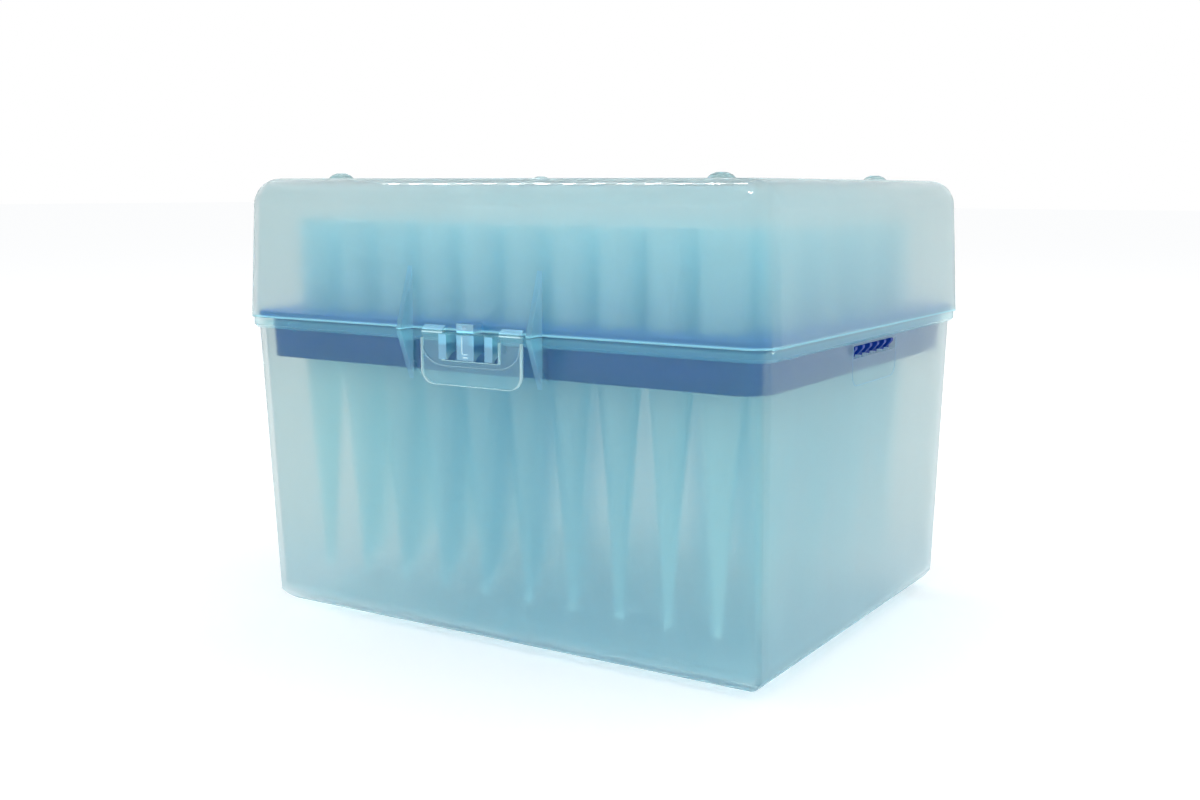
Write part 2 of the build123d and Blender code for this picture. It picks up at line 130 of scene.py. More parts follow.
def make_lamp(name, place, target, size, radiance, only_gloss=False):
    """A rectangular lamp aimed at a point; its radiance is given in multiples of white paper's."""
    data = bpy.data.lights.new(name, "AREA")
    data.shape = "RECTANGLE"
    data.size, data.size_y = size
    data.energy = radiance * size[0] * size[1] * pi
    lamp = bpy.data.objects.new(name, data)
    place = Vector(place)
    aim = (Vector(target) - place).to_track_quat("-Z", "Y")
    lamp.matrix_world = Matrix.Translation(place) @ aim.to_matrix().to_4x4()
    bpy.context.scene.collection.objects.link(lamp)
    if only_gloss:
        lamp.visible_diffuse = False
        lamp.visible_transmission = False


def make_floor():
    """A pale floor that shows pure white away from the box and keeps its shadow."""
    bm = bmesh.new()
    bmesh.ops.create_grid(bm, x_segments=1, y_segments=1, size=FLOOR_HALF)
    mesh = bpy.data.meshes.new("floor")
    bm.to_mesh(mesh)
    bm.free()
    floor = bpy.data.objects.new("floor", mesh)
    bpy.context.scene.collection.objects.link(floor)
    floor.location.z = -FLOOR_DROP
    material = bpy.data.materials.new("pale floor")
    material.use_nodes = True
    tree = material.node_tree
    paint = tree.nodes["Principled BSDF"]
    paint.inputs["Base Color"].default_value = (0.93, 0.94, 0.95, 1)
    paint.inputs["Roughness"].default_value = 0.9
    paint.inputs["Specular IOR Level"].default_value = 0.0
    paint.inputs["Emission Color"].default_value = (1, 1, 1, 1)
    glow = tree.nodes.new("ShaderNodeMapRange")
    glow.inputs["To Max"].default_value = FLOOR_GLOW
    tree.links.new(seen_directly(tree), glow.inputs["Value"])
    tree.links.new(glow.outputs["Result"], paint.inputs["Emission Strength"])
    mesh.materials.append(material)


def make_studio():
    """World, floor, lamps, and a strip of small lamps that the lid's edge mirrors as dashes."""
    make_world()
    make_floor()
    for lamp in SOFT_LAMPS:
        make_lamp(*lamp)
    make_lamp(*GLINT_LAMP, only_gloss=True)
    x, y, z = STRIP_START
    for n in range(STRIP_COUNT):
        place = (x + n * STRIP_STEP, y, z)
        aim = (place[0], *STRIP_AIM)
        make_lamp(f"strip_{n + 1}", place, aim, STRIP_SIZE, STRIP_RADIANCE, only_gloss=True)
    scene = bpy.context.scene
    scene.view_settings.view_transform = "Standard"
    scene.cycles.max_bounces = BOUNCES
    scene.cycles.transmission_bounces = BOUNCES
    scene.cycles.transparent_max_bounces = CLEAR_BOUNCES


# ---- materials ----------------------------------------------------------------------------
STREAKS = (90, 90, 14)  # noise scale across and up: the streaks stand upright
STREAK_LOW, STREAK_HIGH = 0.3, 0.7  # the part of the noise that makes the streaks
FROST_SCALE = 900.0
RELIEF_DEPTH = 0.1 * MM
COAT_ROUGHNESS = 0.045
HAZE_ROUGHNESS = 0.7
HAZE_THROUGH = 0.4  # share of the haze that is lit from behind the wall


def make_moulding_group():
    """Moulded plastic: slow drifts of tone, fine frost, and the faint upright streaks of flow."""
    group = bpy.data.node_groups.new("moulding", "ShaderNodeTree")
    for name, default in (("Tone", 0.04), ("Roughness", 0.3), ("Frost", 0.05)):
        socket = group.interface.new_socket(name, in_out="INPUT", socket_type="NodeSocketFloat")
        socket.default_value = default
    colour = group.interface.new_socket("Color", in_out="INPUT", socket_type="NodeSocketColor")
    colour.default_value = (0.8, 0.8, 0.8, 1)
    group.interface.new_socket("Color", in_out="OUTPUT", socket_type="NodeSocketColor")
    group.interface.new_socket("Roughness", in_out="OUTPUT", socket_type="NodeSocketFloat")
    group.interface.new_socket("Height", in_out="OUTPUT", socket_type="NodeSocketFloat")
    make, link = group.nodes.new, group.links.new
    given = make("NodeGroupInput")
    result = make("NodeGroupOutput")
    place = make("ShaderNodeTexCoord")

    stretch = make("ShaderNodeMapping")
    stretch.inputs["Scale"].default_value = STREAKS
    streaks = make("ShaderNodeTexNoise")
    streaks.inputs["Scale"].default_value = 1.0
    streaks.inputs["Detail"].default_value = 3.0
    link(place.outputs["Object"], stretch.inputs["Vector"])
    link(stretch.outputs["Vector"], streaks.inputs["Vector"])
    drift = make("ShaderNodeMapRange")
    drift.inputs["From Min"].default_value = STREAK_LOW
    drift.inputs["From Max"].default_value = STREAK_HIGH
    drift.inputs["To Min"].default_value = 1.0
    deep = make("ShaderNodeMath")
    deep.operation = "SUBTRACT"
    deep.inputs[0].default_value = 1.0
    link(given.outputs["Tone"], deep.inputs[1])
    link(deep.outputs["Value"], drift.inputs["To Max"])
    link(streaks.outputs["Fac"], drift.inputs["Value"])
    tint = make("ShaderNodeMix")
    tint.data_type = "RGBA"
    tint.blend_type = "MULTIPLY"
    tint.inputs["Factor"].default_value = 1.0
    link(given.outputs["Color"], tint.inputs["A"])
    link(drift.outputs["Result"], tint.inputs["B"])
    link(tint.outputs["Result"], result.inputs["Color"])

    frost = make("ShaderNodeTexNoise")
    frost.inputs["Scale"].default_value = FROST_SCALE
    frost.inputs["Detail"].default_value = 4.0
    link(place.outputs["Object"], frost.inputs["Vector"])
    spread = make("ShaderNodeMath")
    spread.operation = "MULTIPLY_ADD"
    centre = make("ShaderNodeMath")
    centre.operation = "SUBTRACT"
    centre.inputs[1].default_value = 0.5
    link(frost.outputs["Fac"], centre.inputs[0])
    link(centre.outputs["Value"], spread.inputs[0])
    link(given.outputs["Frost"], spread.inputs[1])
    link(given.outputs["Roughness"], spread.inputs[2])
    link(spread.outputs["Value"], result.inputs["Roughness"])
    link(frost.outputs["Fac"], result.inputs["Height"])
    return group


def make_painted_glow_group():
    """Painted glow: a band of heights whose emission stands in for light that a clear wall carries
    to its edges.
    """
    group = bpy.data.node_groups.new("edge light", "ShaderNodeTree")
    for name, default in (("Height", 0.059), ("Half Width", 0.001), ("Blur", 0.0005)):
        socket = group.interface.new_socket(name, in_out="INPUT", socket_type="NodeSocketFloat")
        socket.default_value = default
    glow = group.interface.new_socket("Glow", in_out="INPUT", socket_type="NodeSocketColor")
    glow.default_value = (0.1, 0.2, 0.2, 1)
    beneath = group.interface.new_socket("Beneath", in_out="INPUT", socket_type="NodeSocketColor")
    beneath.default_value = (0, 0, 0, 1)
    group.interface.new_socket("Emission", in_out="OUTPUT", socket_type="NodeSocketColor")
    make, link = group.nodes.new, group.links.new
    given = make("NodeGroupInput")
    result = make("NodeGroupOutput")
    place = make("ShaderNodeTexCoord")
    split = make("ShaderNodeSeparateXYZ")
    link(place.outputs["Object"], split.inputs["Vector"])
    away = make("ShaderNodeMath")
    away.operation = "SUBTRACT"
    link(split.outputs["Z"], away.inputs[0])
    link(given.outputs["Height"], away.inputs[1])
    distance = make("ShaderNodeMath")
    distance.operation = "ABSOLUTE"
    link(away.outputs["Value"], distance.inputs[0])
    outer = make("ShaderNodeMath")
    outer.operation = "ADD"
    link(given.outputs["Half Width"], outer.inputs[0])
    link(given.outputs["Blur"], outer.inputs[1])
    band = make("ShaderNodeMapRange")
    band.interpolation_type = "SMOOTHSTEP"
    band.inputs["To Min"].default_value = 1.0
    band.inputs["To Max"].default_value = 0.0
    link(distance.outputs["Value"], band.inputs["Value"])
    link(given.outputs["Half Width"], band.inputs["From Min"])
    link(outer.outputs["Value"], band.inputs["From Max"])
    lit = make("ShaderNodeMix")
    lit.data_type = "RGBA"
    link(band.outputs["Result"], lit.inputs["Factor"])
    link(given.outputs["Beneath"], lit.inputs["A"])
    link(given.outputs["Glow"], lit.inputs["B"])
    link(lit.outputs["Result"], result.inputs["Emission"])
    return group


def add_painted_glow_bands(tree, paint, bands):
    """Lays one painted glowing band over another; each is a height, half width, blur and colour."""
    beneath = None
    for height, half_width, blur, glow in bands:
        band = tree.nodes.new("ShaderNodeGroup")
        band.node_tree = painted_glow_group
        band.inputs["Height"].default_value = height
        band.inputs["Half Width"].default_value = half_width
        band.inputs["Blur"].default_value = blur
        band.inputs["Glow"].default_value = (*glow, 1)
        if beneath:
            tree.links.new(beneath, band.inputs["Beneath"])
        beneath = band.outputs["Emission"]
    tree.links.new(beneath, paint.inputs["Emission Color"])
    paint.inputs["Emission Strength"].default_value = 1.0


# Painted light on the tips: emission that stands in for light from the sides, fading towards the
# middle.
SIDE_LIGHT = (0.17, 0.14, 0.10)  # on the tips at the left end
MIDDLE_LIGHT = (0.025, 0.04, 0.05)  # on the tips in the middle
RIGHT_SHARE = 0.42  # the right end gets this share of the left end's light
SIDE_LIGHT_NEAR = 6.0 * MM  # from the middle of the box, where it starts
SIDE_LIGHT_FAR = 52.0 * MM
SIDE_LIGHT_FADE = 14.0 * MM  # below the rack, where it has full strength


def add_painted_side_light(tree, paint):
    """Painted light on the tips, standing in for light that comes in under the rack: most of it at
    the left end, fading to the middle.
    """
    make, link = tree.nodes.new, tree.links.new
    place = make("ShaderNodeTexCoord")
    split = make("ShaderNodeSeparateXYZ")
    link(place.outputs["Object"], split.inputs["Vector"])
    across = make("ShaderNodeMath")
    across.operation = "ABSOLUTE"
    link(split.outputs["X"], across.inputs[0])
    outward = make("ShaderNodeMapRange")
    outward.interpolation_type = "SMOOTHSTEP"
    outward.inputs["From Min"].default_value = SIDE_LIGHT_NEAR
    outward.inputs["From Max"].default_value = SIDE_LIGHT_FAR
    link(across.outputs["Value"], outward.inputs["Value"])
    down = make("ShaderNodeMapRange")
    down.interpolation_type = "SMOOTHSTEP"
    down.inputs["From Min"].default_value = seam - SIDE_LIGHT_FADE
    down.inputs["From Max"].default_value = seam
    down.inputs["To Min"].default_value = 1.0
    down.inputs["To Max"].default_value = 0.0
    link(split.outputs["Z"], down.inputs["Value"])
    leftward = make("ShaderNodeMapRange")
    leftward.inputs["From Min"].default_value = -SIDE_LIGHT_FAR
    leftward.inputs["From Max"].default_value = SIDE_LIGHT_FAR
    leftward.inputs["To Min"].default_value = 1.0
    leftward.inputs["To Max"].default_value = RIGHT_SHARE
    link(split.outputs["X"], leftward.inputs["Value"])
    share = make("ShaderNodeMath")
    share.operation = "MULTIPLY"
    link(outward.outputs["Result"], share.inputs[0])
    link(leftward.outputs["Result"], share.inputs[1])
    glow = make("ShaderNodeMix")
    glow.data_type = "RGBA"
    glow.inputs["A"].default_value = (*MIDDLE_LIGHT, 1)
    glow.inputs["B"].default_value = (*SIDE_LIGHT, 1)
    link(share.outputs["Value"], glow.inputs["Factor"])
    lit = make("ShaderNodeMix")
    lit.data_type = "RGBA"
    lit.blend_type = "ADD"
    link(down.outputs["Result"], lit.inputs["Factor"])
    link(paint.inputs["Emission Color"].links[0].from_socket, lit.inputs["A"])
    link(glow.outputs["Result"], lit.inputs["B"])
    link(lit.outputs["Result"], paint.inputs["Emission Color"])


def add_moulding(tree, paint, colour, roughness, tone, frost, relief):
    """Feeds one Principled shader from the moulding group."""
    detail = tree.nodes.new("ShaderNodeGroup")
    detail.node_tree = moulding
    detail.inputs["Color"].default_value = (*colour, 1)
    detail.inputs["Roughness"].default_value = roughness
    detail.inputs["Tone"].default_value = tone
    detail.inputs["Frost"].default_value = frost
    bump = tree.nodes.new("ShaderNodeBump")
    bump.inputs["Strength"].default_value = relief
    bump.inputs["Distance"].default_value = RELIEF_DEPTH
    tree.links.new(detail.outputs["Color"], paint.inputs["Base Color"])
    tree.links.new(detail.outputs["Roughness"], paint.inputs["Roughness"])
    tree.links.new(detail.outputs["Height"], bump.inputs["Height"])
    tree.links.new(bump.outputs["Normal"], paint.inputs["Normal"])


def add_light_from_behind(tree, surface, colour, share):
    """Lets a share of the light from behind a thin wall show on its face."""
    behind = tree.nodes.new("ShaderNodeBsdfTranslucent")
    behind.inputs["Color"].default_value = (*colour, 1)
    mixed = tree.nodes.new("ShaderNodeMixShader")
    mixed.inputs["Fac"].default_value = share
    tree.links.new(surface, mixed.inputs[1])
    tree.links.new(behind.outputs["BSDF"], mixed.inputs[2])
    return mixed.outputs["Shader"]


def add_haze(tree, surface, haze, haze_share):
    """Mixes the milky part in, where a ray comes in through the wall's outer face."""
    milk = tree.nodes.new("ShaderNodeBsdfPrincipled")
    milk.inputs["Specular IOR Level"].default_value = 0.0
    milk.inputs["Roughness"].default_value = HAZE_ROUGHNESS
    milk.inputs["Base Color"].default_value = (*haze, 1)
    body = add_light_from_behind(tree, milk.outputs["BSDF"], haze, HAZE_THROUGH)
    side = tree.nodes.new("ShaderNodeNewGeometry")
    share = tree.nodes.new("ShaderNodeMapRange")
    share.inputs["To Min"].default_value = haze_share
    share.inputs["To Max"].default_value = 0.0
    tree.links.new(side.outputs["Backfacing"], share.inputs["Value"])
    cloudy = tree.nodes.new("ShaderNodeMixShader")
    tree.links.new(share.outputs["Result"], cloudy.inputs["Fac"])
    tree.links.new(surface, cloudy.inputs[1])
    tree.links.new(body, cloudy.inputs[2])
    return cloudy.outputs["Shader"]


def let_lamps_through(tree, surface, lamps):
    """Gives the piece a pale shadow: lamps is the share of lamplight that passes."""
    path = tree.nodes.new("ShaderNodeLightPath")
    clear = tree.nodes.new("ShaderNodeBsdfTransparent")
    clear.inputs["Color"].default_value = (*lamps, 1)
    lit = tree.nodes.new("ShaderNodeMixShader")
    tree.links.new(path.outputs["Is Shadow Ray"], lit.inputs["Fac"])
    tree.links.new(surface, lit.inputs[1])
    tree.links.new(clear.outputs["BSDF"], lit.inputs[2])
    return lit.outputs["Shader"]


def make_plastic(name, colour, roughness, ior=1.49, transmission=0.0, coat=0.0, tone=0.05,
                 frost=0.1, relief=0.1, specular=0.5, alpha=1.0, through=0.0, haze=None,
                 haze_share=0.0, lamps=None, painted_glow=None, edges=(), painted_side_light=False):
    """Moulded polypropylene. Through is the share lit from behind, haze the colour of its milky
    part, lamps the share of lamplight let through, painted_glow a faint painted glow all over,
    edges the bands of painted glow, and painted_side_light the painted light on the tips."""
    material = bpy.data.materials.new(name)
    material.use_nodes = True
    tree = material.node_tree
    paint = tree.nodes["Principled BSDF"]
    paint.inputs["IOR"].default_value = ior
    paint.inputs["Transmission Weight"].default_value = transmission
    paint.inputs["Specular IOR Level"].default_value = specular
    paint.inputs["Coat Weight"].default_value = coat
    paint.inputs["Alpha"].default_value = alpha
    paint.inputs["Coat Roughness"].default_value = COAT_ROUGHNESS
    add_moulding(tree, paint, colour, roughness, tone, frost, relief)
    if painted_glow:
        paint.inputs["Emission Color"].default_value = (*painted_glow, 1)
        paint.inputs["Emission Strength"].default_value = 1.0
    if edges:
        add_painted_glow_bands(tree, paint, edges)
    if painted_side_light:
        add_painted_side_light(tree, paint)
    surface = paint.outputs["BSDF"]
    if through:
        surface = add_light_from_behind(tree, surface, colour, through)
    if haze:
        surface = add_haze(tree, surface, haze, haze_share)
    if lamps:
        surface = let_lamps_through(tree, surface, lamps)
    tree.links.new(surface, tree.nodes["Material Output"].inputs["Surface"])
    return material


# ---- pieces -------------------------------------------------------------------------------
WELD = 1e-6  # corners nearer than this become one
TOUCH = 0.01 * MM  # a corner this near to a height counts as lying at it
SHARP = 35  # degrees between two faces, from which their edge stays crisp
ROUND_REACH = 0.5523  # handle length of a quarter circle, as a share of its radius


def dress(piece, material):
    """Gives a piece one material."""
    piece.data.materials.clear()
    piece.data.materials.append(material)


def finish_piece(bm, name, material, body, sharp=SHARP, replaces=()):
    """Makes a finished piece of a bmesh: smooth, dressed, and riding on its body."""
    mesh = bpy.data.meshes.new(name)
    bm.to_mesh(mesh)
    bm.free()
    mesh.shade_smooth()
    mesh.set_sharp_from_angle(angle=radians(sharp))
    piece = bpy.data.objects.new(name, mesh)
    bpy.context.scene.collection.objects.link(piece)
    dress(piece, material)
    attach(piece, body)
    if replaces:
        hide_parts(*replaces)
    return piece


def corners_of(geometry):
    """The vertices among a bmesh operator's result."""
    return [item for item in geometry if isinstance(item, bmesh.types.BMVert)]


def ease_edges(bm, size):
    """Faces the solid outwards and takes its sharp edges off."""
    bmesh.ops.recalc_face_normals(bm, faces=bm.faces)
    bmesh.ops.bevel(
        bm, geom=bm.edges[:], offset=size, segments=1, profile=0.5, affect="EDGES", material=-1
    )


def add_plate(bm, outline, along):
    """A plate on a few corners, as thick as the vector along."""
    face = bm.faces.new([bm.verts.new(corner) for corner in outline])
    grown = bmesh.ops.extrude_face_region(bm, geom=[face])["geom"]
    bmesh.ops.translate(bm, verts=corners_of(grown), vec=along)


def finish_curve(curve, name, material, body, lift=0.0):
    """Turns a curve into a finished piece, welded and facing outwards."""
    line = bpy.data.objects.new("line", curve)
    bpy.context.scene.collection.objects.link(line)
    mesh = bpy.data.meshes.new_from_object(line)
    bpy.data.objects.remove(line)
    bm = bmesh.new()
    bm.from_mesh(mesh)
    bmesh.ops.translate(bm, verts=bm.verts, vec=(0, 0, lift))
    bmesh.ops.remove_doubles(bm, verts=bm.verts, dist=WELD)
    bmesh.ops.recalc_face_normals(bm, faces=bm.faces)
    finish_piece(bm, name, material, body)


def new_line(name, radius):
    """An empty curve whose splines become round lines."""
    curve = bpy.data.curves.new(name, "CURVE")
    curve.dimensions = "3D"
    curve.bevel_depth = radius
    curve.bevel_resolution = 2
    curve.resolution_u = 8
    curve.use_fill_caps = True
    return curve


def add_u_line(curve, at, half, low, top, corner):
    """One U-shaped line on a curve. at gives the point that lies u across and z up."""
    path = curve.splines.new("BEZIER")
    across, up = corner
    stops = [
        ((-half, top), (0, 1), (0, -1)),
        ((-half, low + up), (0, 1), (0, -1)),
        ((-half + across, low), (-1, 0), (1, 0)),
        ((half - across, low), (-1, 0), (1, 0)),
        ((half, low + up), (0, -1), (0, 1)),
        ((half, top), (0, -1), (0, 1)),
    ]
    path.bezier_points.add(len(stops) - 1)
    reach_u, reach_z = across * ROUND_REACH, up * ROUND_REACH
    for point, ((u, z), back, ahead) in zip(path.bezier_points, stops):
        point.handle_left_type = point.handle_right_type = "FREE"
        point.co = at(u, z)
        point.handle_left = at(u + back[0] * reach_u, z + back[1] * reach_z)
        point.handle_right = at(u + ahead[0] * reach_u, z + ahead[1] * reach_z)


def add_round(curve, x, y, radius):
    """One round outline on a flat curve."""
    ring = curve.splines.new("BEZIER")
    ring.bezier_points.add(3)
    ring.use_cyclic_u = True
    for point, (dx, dy) in zip(ring.bezier_points, ((1, 0), (0, 1), (-1, 0), (0, -1))):
        point.handle_left_type = point.handle_right_type = "FREE"
        reach = radius * ROUND_REACH
        point.co = (x + dx * radius, y + dy * radius, 0)
        point.handle_left = (x + dx * radius + dy * reach, y + dy * radius - dx * reach, 0)
        point.handle_right = (x + dx * radius - dy * reach, y + dy * radius + dx * reach, 0)


def add_rounded_rectangle(curve, half_x, half_y, corner):
    """A rectangle with rounded corners on a flat curve."""
    ring = curve.splines.new("BEZIER")
    ring.bezier_points.add(7)
    ring.use_cyclic_u = True
    k = corner * ROUND_REACH
    turns = []
    for sx, sy in ((1, -1), (1, 1), (-1, 1), (-1, -1)):
        across = ((half_x - corner) * sx, half_y * sy, (k * sx, 0))
        upright = (half_x * sx, (half_y - corner) * sy, (0, k * sy))
        turns += [(across, upright)] if sx * sy < 0 else [(upright, across)]
    points = iter(ring.bezier_points)
    for first, second in turns:
        for (x, y, (hx, hy)), leaves in ((first, True), (second, False)):
            point = next(points)
            point.handle_left_type = point.handle_right_type = "FREE"
            point.co = (x, y, 0)
            to_corner, away = (x + hx, y + hy, 0), (x - hx, y - hy, 0)
            point.handle_right = to_corner if leaves else away
            point.handle_left = away if leaves else to_corner


# ---- shells and latch ---------------------------------------------------------------------
SHELL_SHARP = 25  # less than SHARP, so that the shells' flat steps stay crisp


def smooth_node(node, material, body):
    """A CAD part with its loose faces welded and its rounded edges shaded smooth."""
    bm = bmesh.new()
    bm.from_mesh(nodes[node].data)
    bmesh.ops.remove_doubles(bm, verts=bm.verts, dist=WELD)
    piece = finish_piece(
        bm, f"{node}_smooth", material, body, sharp=SHELL_SHARP, replaces=(node,),
    )
    even = piece.modifiers.new("even_shading", "WEIGHTED_NORMAL")
    even.keep_sharp = True


FIN_X = 14.2 * MM  # of each fin's middle
FIN_COVER = 1.12 * MM  # thickness, a little more than the CAD fin's
FIN_REACH = 3.55 * MM
FIN_TOP = 11.3 * MM  # above the seam
FIN_FOOT = 9.2 * MM  # below the seam
FIN_NOSE = 0.25 * MM  # height of the fin's outer end
FIN_GAP = 0.12 * MM  # between each half and the seam
FIN_SINK = 0.02 * MM  # off the lid's front face
FIN_EDGE = 0.1 * MM


def make_fins():
    """Milky covers over the gusset fins beside the latch: half on the lid, half on the base."""
    halves = (("lid", "lid_shell", 1, FIN_TOP), ("base", "base_shell", -1, FIN_FOOT))
    for body, slot, sign, length in halves:
        bm = bmesh.new()
        start = seam + sign * FIN_GAP
        for x in (-FIN_X, FIN_X):
            face = x - FIN_COVER / 2
            outline = [
                (face, lid_front + FIN_SINK, start),
                (face, lid_front + FIN_SINK, start + sign * length),
                (face, lid_front - FIN_REACH, start + sign * FIN_NOSE),
                (face, lid_front - FIN_REACH, start),
            ]
            add_plate(bm, outline, (FIN_COVER, 0, 0))
        ease_edges(bm, FIN_EDGE)
        finish_piece(bm, f"{body}_fins", milky, body)


GRIP_HALF = 10.6 * MM
GRIP_LOW = 3.5 * MM  # above the latch's foot
GRIP_TOP = 7.0 * MM
GRIP_ROUND = (5.2 * MM, 3.4 * MM)  # across and up
GRIP_LINE = 0.07 * MM
GRIP_SINK = 0.06 * MM  # the line's middle lies this deep in the plate


def make_grip_line():
    """The thin raised line that frames the latch's finger grip on three sides."""
    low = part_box("latch")[0]
    face = low.y + GRIP_SINK
    curve = new_line("grip_line", GRIP_LINE)
    add_u_line(
        curve, lambda u, z: (u, face, low.z + z), GRIP_HALF, GRIP_LOW, GRIP_TOP, GRIP_ROUND,
    )
    finish_curve(curve, "grip_line", pale, "latch")


PANEL_HALF = 10.9 * MM
PANEL_FOOT = -10.2 * MM  # heights from the seam
PANEL_TOP = -2.3 * MM
PANEL_ROUND = (2.4 * MM, 2.4 * MM)
PANEL_LINE = 0.11 * MM
PANEL_IN = 1.77 * MM  # from the lid's side face


def make_slot_panels():
    """The fine edge of the panel under each side slot."""
    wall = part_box("lid")[1].x - PANEL_IN
    curve = new_line("slot_panels", PANEL_LINE)
    for side in (-1, 1):
        add_u_line(
            curve, lambda u, z: (side * wall, SLOT_Y + u, seam + z), PANEL_HALF, PANEL_FOOT,
            PANEL_TOP, PANEL_ROUND,
        )
    finish_curve(curve, "slot_panels", milky, "base")


LATCH_HALF = 10.9 * MM
LATCH_CORNER = 2.7 * MM
LATCH_BACK = 1.0 * MM  # from the plate's face to its back
WINDOW_HALF = 6.25 * MM
SILL = 4.4 * MM  # above the latch's foot
ARM_TOP = 8.3 * MM
EDGE_SKIN = 0.07 * MM
EDGE_SINK = 0.02 * MM  # the skins stay this far inside the plate's two faces
ROLL_OUT = 0.7 * MM  # of the roll's middle from the lid's front face
ROLL_DROP = 0.65 * MM  # and below the seam
ROLL_RADIUS = 0.45 * MM
# radius of the painted highlight bar on each roll's crest
ROLL_SHINE = 0.13 * MM
ROLL_SHINE_OUT = 0.62 * ROLL_RADIUS  # the crest faces up and forwards
ROLL_SHINE_UP = 0.72 * ROLL_RADIUS
ROLL_END = 0.05 * MM  # the crest stops this far short of the arm's sides


def make_latch_edge_highlights():
    """Painted highlights: faintly glowing skins on the latch's cut edges, round the plate and
    inside its window.
    """
    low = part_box("latch")[0]
    face = low.y + EDGE_SINK
    arm_top = low.z + ARM_TOP
    bm = bmesh.new()
    bmesh.ops.create_grid(bm, x_segments=1, y_segments=1, size=1.0)
    bmesh.ops.scale(bm, verts=bm.verts, vec=(LATCH_HALF, ARM_TOP, 1))
    feet = [vert for vert in bm.verts if vert.co.y < 0]
    bmesh.ops.bevel(
        bm, geom=feet, offset=LATCH_CORNER, segments=8, profile=0.5, affect="VERTICES", material=-1
    )
    upright = Matrix.Rotation(radians(90), 3, "X")
    bmesh.ops.rotate(bm, verts=bm.verts, cent=(0, 0, 0), matrix=upright)
    bmesh.ops.translate(bm, verts=bm.verts, vec=(0, face, arm_top))
    bmesh.ops.bisect_plane(
        bm, geom=bm.verts[:] + bm.edges[:] + bm.faces[:], plane_co=(0, 0, arm_top),
        plane_no=(0, 0, 1), clear_outer=True,
    )
    bmesh.ops.delete(bm, geom=bm.faces[:], context="FACES_ONLY")
    lid_line = [edge for edge in bm.edges if min(v.co.z for v in edge.verts) > arm_top - TOUCH]
    bmesh.ops.delete(bm, geom=lid_line, context="EDGES")
    window = [
        (-WINDOW_HALF, ARM_TOP), (-WINDOW_HALF, SILL), (WINDOW_HALF, SILL), (WINDOW_HALF, ARM_TOP),
    ]
    corners = [bm.verts.new((x, face, low.z + z)) for x, z in window]
    for a, b in zip(corners, corners[1:]):
        bm.edges.new((a, b))
    grown = bmesh.ops.extrude_edge_only(bm, edges=bm.edges[:])["geom"]
    bmesh.ops.translate(bm, verts=corners_of(grown), vec=(0, LATCH_BACK - 2 * EDGE_SINK, 0))
    bmesh.ops.recalc_face_normals(bm, faces=bm.faces)
    piece = finish_piece(bm, "latch_edge_highlights", painted_highlight, "latch")
    skin = piece.modifiers.new("skin", "SOLIDIFY")
    skin.thickness = EDGE_SKIN
    skin.offset = 0


def make_painted_roll_highlights():
    """A painted highlight along the crest of the roll on each latch arm."""
    bm = bmesh.new()
    y = lid_front - ROLL_OUT - ROLL_SHINE_OUT
    z = seam - ROLL_DROP + ROLL_SHINE_UP
    lengthwise = Matrix.Rotation(radians(90), 3, "Y")
    for side in (-1, 1):
        middle = side * (LATCH_HALF + WINDOW_HALF) / 2
        bar = bmesh.ops.create_cone(
            bm, cap_ends=True, segments=12, radius1=ROLL_SHINE, radius2=ROLL_SHINE,
            depth=LATCH_HALF - WINDOW_HALF - 2 * ROLL_END,
        )["verts"]
        bmesh.ops.rotate(bm, verts=bar, cent=(0, 0, 0), matrix=lengthwise)
        bmesh.ops.translate(bm, verts=bar, vec=(middle, y, z))
    finish_piece(bm, "roll_highlights", painted_highlight, "latch")


HOOK_OUT = 2.45 * MM  # from the lid's front face
HOOK_FOOT = 4.85 * MM  # below the seam
HOOK_TOP = 0.4 * MM
HOOKS = ((0.0, 3.75 * MM), (-5.07 * MM, 1.7 * MM), (5.07 * MM, 1.7 * MM))  # middle and width
STRAP_OUT = 1.0 * MM
STRAP_RISE = 0.85 * MM  # heights above the seam, at the lid and at the outer edge
STRAP_EDGE = 0.1 * MM
STOP_HEIGHT = 1.6 * MM
STOP_GAP = 0.05 * MM  # between the stop block's skin and the seam
SKIN = 0.09 * MM
SKIN_EDGE = 0.03 * MM
HOOK_LIGHTS = (  # middle, width, foot and top of each painted highlight on the middle hook, from the seam
    (-0.65 * MM, 0.22 * MM, -3.7 * MM, -0.6 * MM),
    (0.0, 1.1 * MM, -3.85 * MM, -3.7 * MM),
    (0.05 * MM, 1.1 * MM, -4.45 * MM, -4.2 * MM),
)
# the painted highlight on the stop block: middle, width, foot and top, from the seam
STOP_LIGHT = (-0.1 * MM, 0.8 * MM, 0.55 * MM, 1.15 * MM)


def add_front_plate(bm, x, width, foot, top, out=HOOK_OUT):
    """An upright skin facing the front. Foot and top are heights from the seam."""
    y = lid_front - out
    left, right = x - width / 2, x + width / 2
    low, high = seam + foot, seam + top
    outline = [(left, y, low), (right, y, low), (right, y, high), (left, y, high)]
    add_plate(bm, outline, (0, -SKIN, 0))


def finish_plates(bm, name, material, body):
    """Turns a set of skins into one finished piece."""
    ease_edges(bm, SKIN_EDGE)
    finish_piece(bm, name, material, body)


